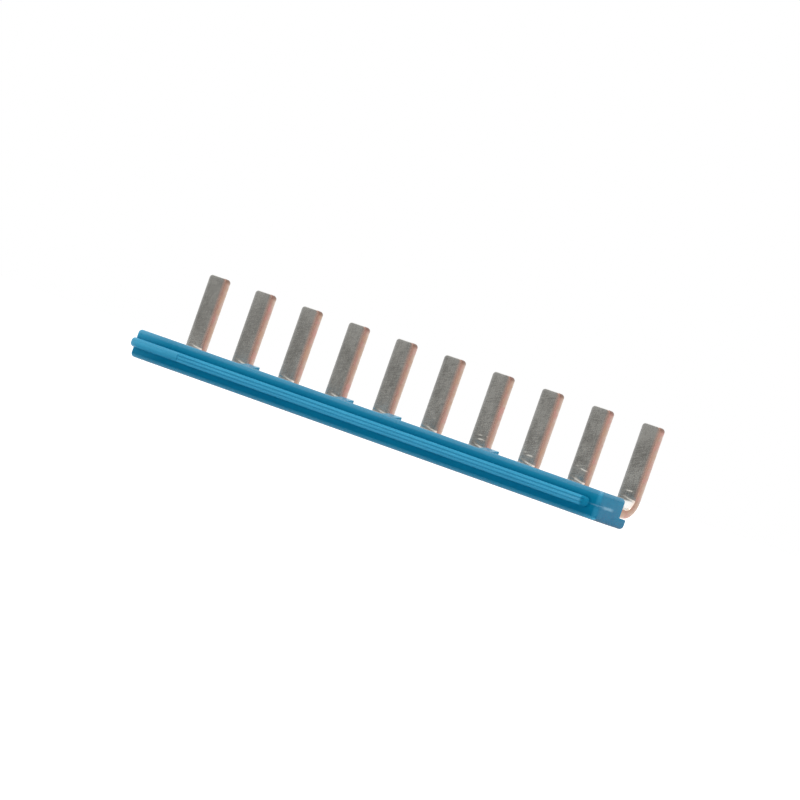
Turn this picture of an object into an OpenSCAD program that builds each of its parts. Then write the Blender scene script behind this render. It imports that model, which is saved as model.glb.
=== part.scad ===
// Plug-in jumper for rail-mounted terminal blocks: a stamped and bent copper
// comb whose spine is held in a moulded insulating profile.
// Millimetres. +X runs along the row of blades, the ribbed front faces -Y, the
// blades point up along +Z. The origin is at the middle of the underside.

/* [Contact comb] */
// Number of blades in the row
poles = 10; // [8:1:20]
// Spacing of the blades, equal to the spacing of the terminals
pitch = 6.2; // [5:0.1:10]
// Width of a blade along the row
blade_w = 2.2; // [1.4:0.1:3]
// Thickness of the copper sheet
sheet_t = 0.85; // [0.6:0.05:1.2]
// Height of the blade tips above the underside of the spine
blade_rise = 9.45; // [7:0.05:14]
// Inner radius of the bend between tongue and blade
bend_r = 1.2; // [0.8:0.05:1.6]
// Radius of the two corners of a blade tip
tip_corner_r = 0.35; // [0.1:0.05:0.6]
// Length of the coined bevel on the rear of a blade tip
tip_bevel_len = 0.25; // [0.1:0.05:0.8]
// Depth of that bevel into the sheet
tip_bevel_depth = 0.08; // [0.05:0.01:0.25]
// Fillet in the corners where a tongue leaves the spine
root_r = 0.4; // [0.1:0.05:0.8]

/* [Insulating profile] */
// Thickness of the wall under the spine
lower_wall_t = 1.02; // [0.7:0.01:1.6]
// Thickness of the wall over the spine
upper_wall_t = 0.97; // [0.7:0.01:1.6]
// Thickness of the front web
web_t = 0.8; // [0.5:0.05:1.2]
// Thickness of the wall that closes the left end
left_wall_t = 0.97; // [0.3:0.01:1.5]
// Thickness of the wall that closes the right end
right_wall_t = 0.72; // [0.3:0.01:1.5]
// Depth of the upper wall, from the front of the web to its rear edge
upper_depth = 4.25; // [3.4:0.05:4.8]
// Depth of the lower wall, from the front of the web to its rear edge
lip_depth = 5.6; // [5.2:0.05:6.4]
// Distance from the front of the web to the front of the blades
blade_setback = 6.95; // [6.9:0.05:9]
// Clearance between the spine and the walls around it
fit_gap = 0.03; // [0.01:0.01:0.1]
// Distance of the spine's rear edge inside the upper wall's rear edge
spine_inset = 0.2; // [0.1:0.05:0.6]
// Radius of the long edges at the front
edge_r = 0.4; // [0.1:0.05:0.5]
// Radius of the long edges at the rear of the upper wall
rear_edge_r = 0.2; // [0.05:0.05:0.3]
// Radius of the upper long edge at the rear of the lower wall
lip_edge_r = 0.2; // [0.05:0.05:0.35]
// Radius of the lower long edge at the rear of the lower wall
lip_low_r = 0.45; // [0.1:0.05:0.6]
// Radius of the upright edges at the four corners
corner_r = 0.45; // [0.1:0.01:0.5]
// Radius of the upper and lower edges of the two ends
end_edge_r = 0.4; // [0.1:0.05:0.6]

/* [Front rib] */
// Height of the rib in front of the web
rib_h = 0.55; // [0.3:0.05:0.9]
// Width of the rib across the web
rib_w = 0.98; // [0.92:0.02:1.4]
// Radius of the rib's long edges
rib_edge_r = 0.4; // [0.1:0.05:0.45]
// Distance from the rib's round end to the right end of the web
rib_setback = 1; // [0.2:0.1:3]
// Length of the plain stretch at the rib's left end
rib_plain_len = 6.4; // [2:0.1:12]
// Number of fine ridges along the rest of the rib
ridges = 3; // [2:1:4]
// Width of a groove between two ridges
groove_w = 0.2; // [0.08:0.02:0.22]
// Depth of a groove, and of the notch that ends the plain stretch
groove_depth = 0.09; // [0.03:0.01:0.12]

/* [Buttresses] */
// Gaps between blades, counted from the left, that hold a buttress
buttress_gaps = [2, 4, 5, 7]; // [1:1:7]
// Width of a buttress along the row
buttress_w = 1.6; // [0.6:0.1:2]
// Rise of a buttress's rear edge above the upper wall
buttress_rise = 0.3; // [0.1:0.02:0.6]
// Distance of its rear face inside the lower wall's rear edge
buttress_inset = 0.25; // [0.1:0.05:0.5]
// Length of its root on the upper wall
buttress_root = 0.5; // [0.3:0.05:1]

/* [Hidden] */
$fn = 48;

// Levels: the slot lies between the two walls and the comb's spine lies in it
slot_z = lower_wall_t;
slot_h = sheet_t + 2 * fit_gap;
upper_z = slot_z + slot_h;
profile_h = upper_z + upper_wall_t;
comb_z = slot_z + fit_gap;
tip_z = comb_z + blade_rise;

// Lengths along the row
row_len = (poles - 1) * pitch;
comb_len = row_len + blade_w;
slot_len = comb_len + 2 * fit_gap;
profile_left = -slot_len / 2 - left_wall_t;
profile_right = slot_len / 2 + right_wall_t;
profile_len = profile_right - profile_left;

// Depths, from the front of the web
spine_front = web_t + fit_gap;
spine_rear = upper_depth - spine_inset;
blade_back = blade_setback + sheet_t;

// The origin is under the middle of the part's whole length and depth
frame_x = -(profile_left + profile_right) / 2;
frame_y = -(blade_back - rib_h) / 2;

// The front edge of the lower wall keeps a flat between its two radii
round_share = 0.45;
lip_front_r = min(edge_r, lower_wall_t * round_share);

// The rib's root reaches behind the web's round corners and ends inside the web
rib_root = (corner_r + web_t) / 2;

// Overlaps and cut lengths of the solids, in proportion to the sheet
bite = sheet_t / 4;
past = sheet_t;

// Centre of a blade, counted from 0 at the left
function blade_x(index) = index * pitch - row_len / 2;

// Rectangle from the origin with round corners: one radius at its left, one at its right
module rounded_rect(size, left_r, right_r) {
    translate([left_r, 0]) square([size[0] - left_r - right_r, size[1]]);
    for (side = [0, 1]) {
        r = side == 0 ? left_r : right_r;
        translate([side * (size[0] - r), r]) square([r, size[1] - 2 * r]);
        for (y = [r, size[1] - r])
            translate([side == 0 ? r : size[0] - r, y]) circle(r);
    }
}

// Rectangle between two points whose lower right corner is round
module bent_block(low, high, r) {
    translate([low[0], low[1] + r]) square([high[0] - low[0], high[1] - low[1] - r]);
    translate(low) square([high[0] - low[0] - r, high[1] - low[1]]);
    translate([high[0] - r, low[1] + r]) circle(r);
}

// Carries a section drawn in Y and Z along X between two places
module along_row(from, to) {
    translate([from, 0, 0])
        rotate([90, 0, 90]) linear_extrude(to - from) children();
}

// Carries an outline drawn in X and Z backwards through the given depths
module through_depth(from, to) {
    translate([0, to, 0])
        rotate([90, 0, 0]) linear_extrude(to - from) children();
}

// Section of tongue, bend and blade: one sheet thickness, bevelled behind the tip
module bent_sheet_section() {
    tongue_start = spine_rear - root_r;
    difference() {
        bent_block([tongue_start, comb_z], [blade_back, tip_z], bend_r + sheet_t);
        bent_block([tongue_start - past, comb_z + sheet_t], [blade_setback, tip_z + past], bend_r);
        tip_bevel();
    }
}

// Cut of the bevel on the rear face of the tip
module tip_bevel() {
    slope = tip_bevel_len / tip_bevel_depth;
    polygon([
        [blade_back + past, tip_z - tip_bevel_len - past * slope],
        [blade_back + past, tip_z + past * slope],
        [blade_back - tip_bevel_depth - past, tip_z + past * slope]
    ]);
}

// Outline of a blade seen from the front, with two round tip corners
module blade_outline() {
    translate([-blade_w / 2, comb_z - past])
        rounded_rect([blade_w, blade_rise + past], tip_corner_r, tip_corner_r);
}

// One tongue with its bend and blade, centred on X
module blade() {
    intersection() {
        along_row(-blade_w / 2, blade_w / 2) bent_sheet_section();
        through_depth(0, blade_back + past) blade_outline();
    }
}

// Fillet in the corner between spine and tongue, in the plane of the sheet
module root_fillet() {
    difference() {
        translate([-bite, -bite]) square(root_r + bite);
        translate([root_r, root_r]) circle(root_r);
    }
}

// The spine in the plane of the sheet, with fillets on the inner side of each tongue
module spine_plan() {
    translate([-comb_len / 2, spine_front]) square([comb_len, spine_rear - spine_front]);
    for (i = [0 : poles - 2]) {
        translate([blade_x(i) + blade_w / 2, spine_rear]) root_fillet();
        translate([blade_x(i + 1) - blade_w / 2, spine_rear]) mirror([1, 0]) root_fillet();
    }
}

// Stamped and bent comb, tin-plated on its faces
module contact_comb() {
    color([0.55, 0.54, 0.52])
        translate([frame_x, frame_y, 0]) {
            translate([0, 0, comb_z]) linear_extrude(sheet_t) spine_plan();
            for (i = [0 : poles - 1])
                translate([blade_x(i), 0, 0]) blade();
        }
}

// Section of the lower wall, whose rear edge is rounder below than above
module lip_section() {
    intersection() {
        rounded_rect([lip_depth, lower_wall_t], lip_front_r, lip_edge_r);
        rounded_rect([lip_depth, profile_h], lip_front_r, lip_low_r);
    }
}

// Section of the profile with the slot still filled: the lower wall reaches further back
module filled_section() {
    rounded_rect([upper_depth, profile_h], edge_r, rear_edge_r);
    lip_section();
}

// Block of the profile with its four upright corners and the edges of both ends rounded
module profile_block() {
    intersection() {
        along_row(profile_left, profile_right) filled_section();
        translate([profile_left, 0, 0])
            linear_extrude(profile_h) rounded_rect([profile_len, lip_depth], corner_r, corner_r);
        translate([profile_left, lip_depth, 0]) rotate([90, 0, 0])
            linear_extrude(lip_depth) rounded_rect([profile_len, profile_h], end_edge_r, end_edge_r);
    }
}

// Slot for the spine, open at the rear and closed at both ends
module spine_slot() {
    translate([-slot_len / 2, web_t, slot_z])
        cube([slot_len, lip_depth - web_t + past, slot_h]);
}

// Section of the rib about its middle line, rooted in the web
module rib_section() {
    translate([-rib_h, -rib_w / 2])
        intersection() {
            rounded_rect([rib_h + web_t + rib_edge_r, rib_w], rib_edge_r, rib_edge_r);
            square([rib_h + rib_root, rib_w]);
        }
}

// Upper half of that section, turned so that its middle line is the axis of the nose
module nose_section() {
    intersection() {
        mirror([1, -1]) rib_section();
        translate([0, -rib_h]) square([rib_w / 2, rib_h + rib_root]);
    }
}

// One V groove in the front of the rib
module groove_section() {
    polygon([
        [-rib_h - groove_depth, -groove_w],
        [-rib_h + groove_depth, 0],
        [-rib_h - groove_depth, groove_w]
    ]);
}

// Raised rib on the front: a plain stretch, a notch, fine ridges and a plain round nose
module front_rib() {
    plain_end = profile_left + rib_plain_len;
    nose_x = profile_right - rib_setback - rib_w / 2;
    ridge_step = rib_w / ridges;
    translate([0, 0, profile_h / 2])
        difference() {
            union() {
                along_row(profile_left, nose_x) rib_section();
                translate([nose_x, 0, 0]) rotate([-90, 0, 0]) rotate_extrude() nose_section();
            }
            for (k = [1 : ridges - 1])
                translate([0, 0, k * ridge_step - rib_w / 2])
                    along_row(plain_end, nose_x) groove_section();
            translate([plain_end - groove_w / 2, -rib_h - past, -rib_w / 2 - past])
                cube([groove_w, past + groove_depth, rib_w + 2 * past]);
        }
}

// Section of a buttress: from the lower wall up past the upper wall, its top a ramp
module buttress_section() {
    front = upper_depth - buttress_root;
    rear = lip_depth - buttress_inset;
    polygon([
        [upper_depth, slot_z / 2],
        [rear, slot_z / 2],
        [rear, profile_h + buttress_rise],
        [front, profile_h],
        [front, upper_z + upper_wall_t / 2],
        [upper_depth, upper_z + upper_wall_t / 2]
    ]);
}

// Moulded channel that covers the spine, with its front rib and its buttresses
module insulating_profile() {
    color([0.08, 0.42, 0.58])
        translate([frame_x, frame_y, 0]) {
            difference() {
                profile_block();
                spine_slot();
            }
            front_rib();
            for (gap = buttress_gaps)
                if (gap < poles)
                    translate([(blade_x(gap - 1) + blade_x(gap)) / 2, 0, 0])
                        along_row(-buttress_w / 2, buttress_w / 2) buttress_section();
        }
}

contact_comb();
insulating_profile();
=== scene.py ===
# %% [markdown]
# # A plug-in jumper for a row of terminal blocks
# The real object is two pieces in one rigid body. A comb is stamped from tinned copper
# sheet and its teeth are bent up into ten blades. Its flat spine is held in the slot of
# a blue moulded profile with a raised rib on the front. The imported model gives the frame,
# in metres: +X along the row, the ribbed front towards -Y, the blades up along +Z.

# %% Load the frame
import math

import bpy
import numpy as np
from mathutils import Matrix, Vector


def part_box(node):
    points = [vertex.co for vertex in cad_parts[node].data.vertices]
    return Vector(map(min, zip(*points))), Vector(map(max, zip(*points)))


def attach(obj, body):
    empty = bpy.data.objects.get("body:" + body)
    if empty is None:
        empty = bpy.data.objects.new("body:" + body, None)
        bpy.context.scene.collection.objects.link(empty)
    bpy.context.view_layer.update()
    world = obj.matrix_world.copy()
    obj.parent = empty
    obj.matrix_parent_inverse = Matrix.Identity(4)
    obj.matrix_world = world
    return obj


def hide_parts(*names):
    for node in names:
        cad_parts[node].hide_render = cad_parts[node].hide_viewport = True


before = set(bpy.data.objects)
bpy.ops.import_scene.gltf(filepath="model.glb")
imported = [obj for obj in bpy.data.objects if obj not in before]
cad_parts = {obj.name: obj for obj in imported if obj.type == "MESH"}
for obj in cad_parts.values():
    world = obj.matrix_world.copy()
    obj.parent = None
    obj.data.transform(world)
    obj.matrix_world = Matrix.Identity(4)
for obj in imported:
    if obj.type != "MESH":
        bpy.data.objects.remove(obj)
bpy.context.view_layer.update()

MM = 0.001
comb_low, comb_high = (np.array(corner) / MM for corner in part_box("contact_comb"))
profile_low, profile_high = (np.array(corner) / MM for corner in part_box("insulating_profile"))
comb_mid = float(comb_low[0] + comb_high[0]) / 2
print("comb, mm:", comb_low.round(3), comb_high.round(3))
print("profile, mm:", profile_low.round(3), profile_high.round(3))

# %% [markdown]
# ## The camera
# The photograph was taken from the right, level with the part, with a long lens, and
# the picture leans by about 19 degrees. A camera could be placed by eye, but the blades,
# the bend and both ends were measured in the photograph and a pinhole camera was fitted
# to them, so its numbers are written here as they came out, from the middle of the comb.

# %% Camera at the photograph's viewing angle
PICTURE_PX = 800
SENSOR_MM = 36.0
FOCAL_PX = 6265.023
azimuth, elevation, roll = (math.radians(a) for a in (36.0, -0.104, 19.354))
distance, slide, lift = 615.591 * MM, 0.865 * MM, 4.760 * MM

scene = bpy.context.scene
look = Vector((-math.sin(azimuth) * math.cos(elevation),
               math.cos(azimuth) * math.cos(elevation),
               -math.sin(elevation)))
right = Vector((math.cos(azimuth), math.sin(azimuth), 0.0))
up = right.cross(look)
camera_x = right * math.cos(roll) + up * math.sin(roll)
camera_y = up * math.cos(roll) - right * math.sin(roll)
camera_place = Vector((comb_mid * MM, 0.0, 0.0)) + right * slide + up * lift - look * distance

camera = bpy.data.objects.new("camera", bpy.data.cameras.new("camera"))
scene.collection.objects.link(camera)
turn = Matrix((camera_x, camera_y, -look)).transposed().to_4x4()
camera.matrix_world = Matrix.Translation(camera_place) @ turn
camera.data.sensor_width = SENSOR_MM
camera.data.lens = FOCAL_PX * SENSOR_MM / PICTURE_PX
camera.data.clip_start, camera.data.clip_end = 0.01, 20.0
scene.camera = camera
print("camera at, mm:", [round(c / MM, 1) for c in camera_place],
      "lens, mm:", round(camera.data.lens, 1))

# %% [markdown]
# ## From arrays to a mesh
# Every piece below is worked out as whole arrays of points in millimetres. One helper
# turns points and faces into an object in metres, marks the sharp edges and measures the
# closed volume, which has to come out positive, because then the faces point outwards.

# %% Mesh helper
SHARP_ANGLE = math.radians(38)


def closed_volume(mesh):
    """Volume in mm3: a sixth of the sum over the triangles of the box product of their corners."""
    mesh.calc_loop_triangles()
    corners = np.empty(len(mesh.loop_triangles) * 3, np.int32)
    mesh.loop_triangles.foreach_get("vertices", corners)
    places = np.empty(len(mesh.vertices) * 3)
    mesh.vertices.foreach_get("co", places)
    a, b, c = places.reshape(-1, 3)[corners.reshape(-1, 3)].transpose(1, 0, 2) / MM
    return float(np.einsum("ij,ij->i", a, np.cross(b, c)).sum() / 6)


def make_piece(name, points, faces, attributes):
    """Object from points in mm, faces as index rows, and numbers or vectors for each attribute."""
    mesh = bpy.data.meshes.new(name)
    mesh.from_pydata((points * MM).tolist(), [], faces)
    for title, values in attributes.items():
        kind, field = ("FLOAT_VECTOR", "vector") if values.ndim == 2 else ("FLOAT", "value")
        layer = mesh.attributes.new(title, kind, "POINT")
        layer.data.foreach_set(field, np.ascontiguousarray(values, np.float32).ravel())
    mesh.validate()
    mesh.shade_smooth()
    mesh.set_sharp_from_angle(angle=SHARP_ANGLE)
    piece = bpy.data.objects.new(name, mesh)
    scene.collection.objects.link(piece)
    volume = closed_volume(mesh)
    print(name, "triangles:", len(mesh.loop_triangles), "volume, mm3:", round(volume, 1))
    return piece


# %% [markdown]
# ## The stamped and bent comb
# The toolmaker cuts a flat comb from sheet and bends every tooth up by a right angle. The
# same order works here. First the flat pattern is laid out as one net of quads in the two
# coordinates of the sheet: x along the row, and s from the spine's front edge to the tip.
# The net widens into a fillet where a tooth leaves the spine and narrows round the tip's
# corners. A cube with cuts could be bent by a modifier, but the net bends exactly.

# %% Sizes of the comb
POLES = 10
PITCH = 6.2
BLADE_W = 2.2
SHEET_T = 0.85
BEND_R = 1.2
ROOT_R = 0.4
TIP_R = 0.35
BEVEL_LEN, BEVEL_DEPTH = 0.25, 0.08
SPINE_REAR = 0.425

middle_r = BEND_R + SHEET_T / 2
spine_depth = SPINE_REAR - comb_low[1]
bend_start = comb_high[1] - SHEET_T - BEND_R - comb_low[1]
bend_end = bend_start + middle_r * math.pi / 2
strip_end = bend_end + comb_high[2] - comb_low[2] - SHEET_T - BEND_R
blade_x = comb_mid + (np.arange(POLES) - (POLES - 1) / 2) * PITCH
print("length of the sheet from spine to tip, mm:", round(strip_end, 3))

# %% Rows and columns of the net, close together where the tool leaves its marks
ARC_STEPS = 9
DENSE_BELOW, DENSE_ABOVE = 0.4, 1.6
SPINE_STEPS, NECK_STEPS, BEND_STEPS, MARK_STEPS, BLADE_STEPS = 8, 5, 25, 64, 16
quarter = np.linspace(0, math.pi / 2, ARC_STEPS)
root_rows = spine_depth + ROOT_R * (1 - np.cos(quarter))
tip_rows = strip_end - TIP_R + TIP_R * np.sin(quarter)
tooth_rows = np.unique(np.r_[
    root_rows,
    np.linspace(root_rows[-1], bend_start, NECK_STEPS),
    np.linspace(bend_start, bend_end, BEND_STEPS),
    np.linspace(bend_end - DENSE_BELOW, bend_end + DENSE_ABOVE, MARK_STEPS),
    np.linspace(bend_end + DENSE_ABOVE, strip_end - BEVEL_LEN, BLADE_STEPS),
    tip_rows,
].round(6))
spine_rows = np.linspace(0.0, spine_depth, SPINE_STEPS)
across = np.r_[0, 0.02, np.linspace(0.06, 0.94, 16), 0.98, 1]
print("rows in a tooth:", len(tooth_rows), "columns:", len(across))

# %% Outline of the teeth


def tooth_flanks(s):
    """How far the root's fillet widens a tooth at s and the tip's corner narrows it: circle arcs."""
    fillet = np.clip(ROOT_R - (s - spine_depth), 0, ROOT_R)
    corner = np.clip(s - (strip_end - TIP_R), 0, TIP_R)
    return ROOT_R - np.sqrt(ROOT_R ** 2 - fillet ** 2), TIP_R - np.sqrt(TIP_R ** 2 - corner ** 2)


flare, narrow = tooth_flanks(tooth_rows)
tooth_left = np.tile(-(BLADE_W / 2 + flare) + narrow, (POLES, 1))
tooth_right = -tooth_left.copy()
tooth_left[0] = -BLADE_W / 2 + narrow
tooth_right[-1] = BLADE_W / 2 - narrow
tooth_left, tooth_right = tooth_left + blade_x[:, None], tooth_right + blade_x[:, None]
tooth_x = tooth_left[:, :, None] + (tooth_right - tooth_left)[:, :, None] * across
tooth_s = np.broadcast_to(tooth_rows[None, :, None], tooth_x.shape)
print("width at root and tip, mm:", (tooth_right - tooth_left)[1, [0, -1]].round(3))

# %% Flat pattern as one net of quads
GAP_STEPS = 5
gap_x = np.linspace(tooth_right[:-1, 0], tooth_left[1:, 0], GAP_STEPS, axis=1)[:, 1:-1]
gap_x = np.vstack([gap_x, np.full((1, GAP_STEPS - 2), np.nan)])
stations = np.hstack([tooth_x[:, 0, :], gap_x]).ravel()
stations = stations[~np.isnan(stations)]
spine_x, spine_s = np.meshgrid(stations, spine_rows)

spine_net = np.arange(spine_x.size).reshape(spine_x.shape)
tooth_net = spine_x.size + np.arange(tooth_x[:, 1:, :].size).reshape(tooth_x[:, 1:, :].shape)
first_column = np.arange(POLES) * (len(across) + GAP_STEPS - 2)
root_row = spine_net[-1][first_column[:, None] + np.arange(len(across))]
tooth_net = np.concatenate([root_row[:, None, :], tooth_net], axis=1)
flat = np.column_stack([
    np.r_[spine_x.ravel(), tooth_x[:, 1:, :].ravel()],
    np.r_[spine_s.ravel(), tooth_s[:, 1:, :].ravel()],
])


def net_quads(net):
    """The four corners of every cell of a net, or of a stack of nets, counter-clockwise in x and s."""
    return np.stack([net[..., :-1, :-1], net[..., :-1, 1:], net[..., 1:, 1:], net[..., 1:, :-1]],
                    axis=-1).reshape(-1, 4)


pattern_quads = np.vstack([net_quads(spine_net), net_quads(tooth_net)])
print("flat pattern points:", len(flat), "quads:", len(pattern_quads))

# %% [markdown]
# ## Its cut edge
# A punch leaves a rounded edge on the side it enters, then a burnished band, then a
# rougher band where the sheet breaks. So the edge isn't a plain wall: a small profile,
# round at both faces, is carried along the outline of the flat pattern. The outline is
# found as the edges that only one quad uses. The two faces end where the rounding starts,
# so their whole net is drawn in evenly, and no quad folds over the next. A Bevel modifier
# could round it too, but the carried profile also says how deep in the sheet a point lies.

# %% Outline of the pattern and its outward directions
heads = pattern_quads.ravel()
tails = np.roll(pattern_quads, -1, axis=1).ravel()
lone = ~np.isin(heads * len(flat) + tails, tails * len(flat) + heads)
edge_from, edge_to = heads[lone], tails[lone]
along = flat[edge_to] - flat[edge_from]
along /= np.linalg.norm(along, axis=1, keepdims=True)
edge_out = np.column_stack([along[:, 1], -along[:, 0]])
leaving, entering = np.zeros_like(flat), np.zeros_like(flat)
leaving[edge_from], entering[edge_to] = edge_out, edge_out
rim = np.sort(edge_from)
facing = (leaving * entering).sum(axis=1, keepdims=True)
miter = (leaving + entering) / (1 + facing)
rim_place = np.full(len(flat), -1)
rim_place[rim] = np.arange(len(rim))
print("points on the outline:", len(rim))

# %% Directions that draw in the whole net evenly
pull = np.zeros_like(flat)
pull[rim] = miter[rim]
from_left = across[1:-1, None]
pull[tooth_net[:, :-1, 1:-1]] = ((1 - from_left) * pull[tooth_net[:, :-1, :1]]
                                 + from_left * pull[tooth_net[:, :-1, -1:]])
pull[spine_net[:-1, 1:-1], 0] = pull[spine_net[-1, 1:-1], 0]
from_front = spine_rows[1:-1, None] / spine_depth
pull[spine_net[1:-1, 1:-1], 1] = ((1 - from_front) * pull[spine_net[0, 1:-1], 1]
                                  + from_front * pull[spine_net[-1, 1:-1], 1])
print("longest pull for a step of 1:", round(float(np.linalg.norm(pull, axis=1).max()), 3))

# %% [markdown]
# ## The bend and the tool's marks
# On the real comb the bending tool leaves small bright marks over the bend, and the sheet
# swells a little at the foot of each blade. A bump in the finish could hint at them, but a
# mark catches the light because it is a shape. So each mark is a bell that is added to the
# height of the front face, and the function that bends the sheet takes that height along.

# %% Marks of the bending tool
bend_top = comb_low[2] + SHEET_T + BEND_R
MARK_ABOVE, MARK_BELOW = 0.11, 1.3
MARKS = [  # blade, offset from its middle, height, half width, rise and lean of a raised mark
    (2, -0.50, 4.00, 0.15, 0.026, 0.10),
    (3, -0.75, 4.25, 0.12, 0.028, 0.00),
    (5, 0.30, 4.10, 0.25, 0.026, -0.05),
    (6, 0.20, 3.66, 0.45, 0.050, 0.08),
    (6, -0.10, 4.04, 0.30, 0.042, 0.15),
    (6, 0.75, 4.10, 0.15, 0.040, 0.00),
    (7, 0.08, 3.73, 0.38, 0.050, 0.05),
    (7, -0.55, 3.95, 0.18, 0.032, 0.20),
    (8, 0.45, 4.15, 0.45, 0.050, -0.10),
    (8, -0.50, 4.35, 0.20, 0.036, 0.10),
    (9, 0.08, 3.73, 0.36, 0.060, 0.06),
]
SWELL_LOW, SWELL_LEAN, SWELL_ABOVE, SWELL_FADE = 0.09, 0.226, 0.16, 1.6
SWELL_START, SWELL_RAMP = 0.9, 0.8
swell_rise = np.array([0.044, 0.046, 0.043, 0.046, 0.042, 0.042, 0.052, 0.052, 0.049, 0.047])
dice = np.random.default_rng(11)
swell_lift = dice.uniform(-0.03, 0.03, POLES)


def tool_marks(x, s):
    """Rise of the marks: bells, steep above and gentle below, and a leaning step at each base."""
    blade = np.clip(np.rint((x - blade_x[0]) / PITCH).astype(int), 0, POLES - 1)
    offset = x - blade_x[blade]
    above = s - bend_end + SWELL_LOW - swell_lift[blade] + SWELL_LEAN * offset
    below = np.clip(above / SWELL_FADE, -1, 0)
    step = np.where(above > 0, np.exp(-(above / SWELL_ABOVE) ** 2), np.cos(below * math.pi / 2) ** 2)
    rise = swell_rise[blade] * step * np.clip((offset + SWELL_START) / SWELL_RAMP, 0, 1)
    for index, middle, high, wide, peak, lean in MARKS:
        above = s - bend_end - (high - bend_top) - lean * (offset - middle)
        fall = above / np.where(above > 0, MARK_ABOVE, MARK_BELOW)
        bell = np.exp(-fall ** 2 - ((offset - middle) / wide) ** 2)
        rise = rise + np.where(blade == index, peak * bell, 0)
    return rise


print("highest mark, mm:", round(float(tool_marks(*flat.T).max()), 3))

# %% Bend of the sheet and bevel of the tips


def rear_half(s):
    """Half the sheet's thickness at the rear, less the bevel that runs in straight at the tip."""
    return SHEET_T / 2 - BEVEL_DEPTH * np.clip((s - (strip_end - BEVEL_LEN)) / BEVEL_LEN, 0, 1)


def bent(x, s, height):
    """Place of sheet point (x, s) at a height over the sheet's middle: flat, round the bend, then up."""
    angle = np.clip((s - bend_start) / middle_r, 0, math.pi / 2)
    y = comb_low[1] + np.minimum(s, bend_start) + (middle_r - height) * np.sin(angle)
    climb = np.maximum(s - bend_end, 0)
    z = comb_low[2] + SHEET_T / 2 + middle_r - (middle_r - height) * np.cos(angle) + climb
    return np.column_stack([x, y, z])


ROLL_R, BURR_R = 0.05, 0.05
front_flat, back_flat = flat - pull * ROLL_R, flat - pull * BURR_R
front_points = bent(*front_flat.T, SHEET_T / 2 + tool_marks(*front_flat.T))
back_points = bent(*back_flat.T, -rear_half(back_flat[:, 1]))
print("faces reach up to, mm:", round(float(front_points[:, 2].max()), 3))

# %% Rounded wall of the cut edge
ROUND_STEPS, WALL_STEPS = 5, 4
turn_in = np.linspace(0, math.pi / 2, ROUND_STEPS)
edge_inset = np.r_[ROLL_R * (1 - np.sin(turn_in)), np.zeros(WALL_STEPS - 2),
                   BURR_R * (1 - np.sin(turn_in[::-1]))]
roll_drop = ROLL_R * (1 - np.cos(turn_in))
burr_drop = BURR_R * (1 - np.cos(turn_in[::-1]))
wall_flat = flat[rim] - miter[rim] * edge_inset[1:-1, None, None]
lower = burr_drop[:-1, None] - rear_half(wall_flat[1 - ROUND_STEPS:, :, 1])
upper = np.broadcast_to(SHEET_T / 2 - roll_drop[1:, None], lower.shape)
share = np.linspace(0, 1, WALL_STEPS)[1:-1, None]
wall_height = np.vstack([upper, upper[-1] + (lower[0] - upper[-1]) * share, lower])
wall_points = bent(wall_flat[..., 0].ravel(), wall_flat[..., 1].ravel(), wall_height.ravel())
print("rings in the wall:", len(wall_height))

# %% Faces of the comb
count = len(flat)
ring = 2 * count + np.arange(wall_height.size).reshape(wall_height.shape)
rings = np.vstack([rim, ring, rim + count])
start_col, end_col = rim_place[edge_from], rim_place[edge_to]
wall_quads = np.stack([rings[:-1, start_col], rings[1:, start_col],
                       rings[1:, end_col], rings[:-1, end_col]], axis=-1).reshape(-1, 4)
comb_quads = np.vstack([pattern_quads, pattern_quads[:, ::-1] + count, wall_quads])
comb_points = np.vstack([front_points, back_points, wall_points])
print("points of the comb:", len(comb_points), "quads:", len(comb_quads))

# %% Where the sheet is cut, where its right rims turn coppery, and where highlights are painted on the other rims
RIM_W, TIP_W, TIP_HIGHLIGHT, WALL_HIGHLIGHT = 0.4, 0.6, 0.4, 0.6
RIGHT_FACING = 0.3
ROLL_CUT_RIGHT, ROLL_CUT_REST = np.array([(0.5, 0.9, 1, 1), (0, 0, 0.3, 1)])[:, :, None]
# a coppery glow along the right rim of each blade face, partly copper under thin tin at the rolled edge,
# partly painted glow
tooth_glow_and_highlight = np.clip(1 - (tooth_right[:, 1:, None] - tooth_x[:, 1:, :]) / RIM_W, 0, 1)
# painted highlights: lighter tin along the left edge of each blade and at its tip
left_highlight = np.clip(1 - (tooth_x[:, 1:, :] - tooth_left[:, 1:, None]) / RIM_W, 0, 1) ** 2
tip_highlight = TIP_HIGHLIGHT * np.clip(1 - (strip_end - tooth_s[:, 1:, :]) / TIP_W, 0, 1) ** 2
tooth_glow_and_highlight -= (1 - tooth_glow_and_highlight) * np.maximum(left_highlight, tip_highlight)
faces_right = miter[rim, 0] > RIGHT_FACING
# cut walls that face right carry the coppery glow on their rolled rim, the others a painted highlight
wall_glow_and_highlight = np.broadcast_to(np.where(faces_right, 1.0, -WALL_HIGHLIGHT), wall_height.shape)
rim_glow_and_highlight_share = np.r_[np.zeros(spine_x.size), tooth_glow_and_highlight.ravel(), np.zeros(count), wall_glow_and_highlight.ravel()]
wall_cut = np.ones(wall_height.shape)
wall_cut[:len(ROLL_CUT_REST)] = np.where(faces_right, ROLL_CUT_RIGHT, ROLL_CUT_REST)
cut_share = np.r_[np.zeros(2 * count), wall_cut.ravel()]
sheet_place = np.vstack([
    np.column_stack([flat, np.zeros(count)]),
    np.column_stack([flat, np.ones(count)]),
    np.column_stack([wall_flat.reshape(-1, 2), (0.5 - wall_height / SHEET_T).ravel()]),
])
print("share of the points on bare copper:", round(float((cut_share > 0).mean()), 3))

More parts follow.
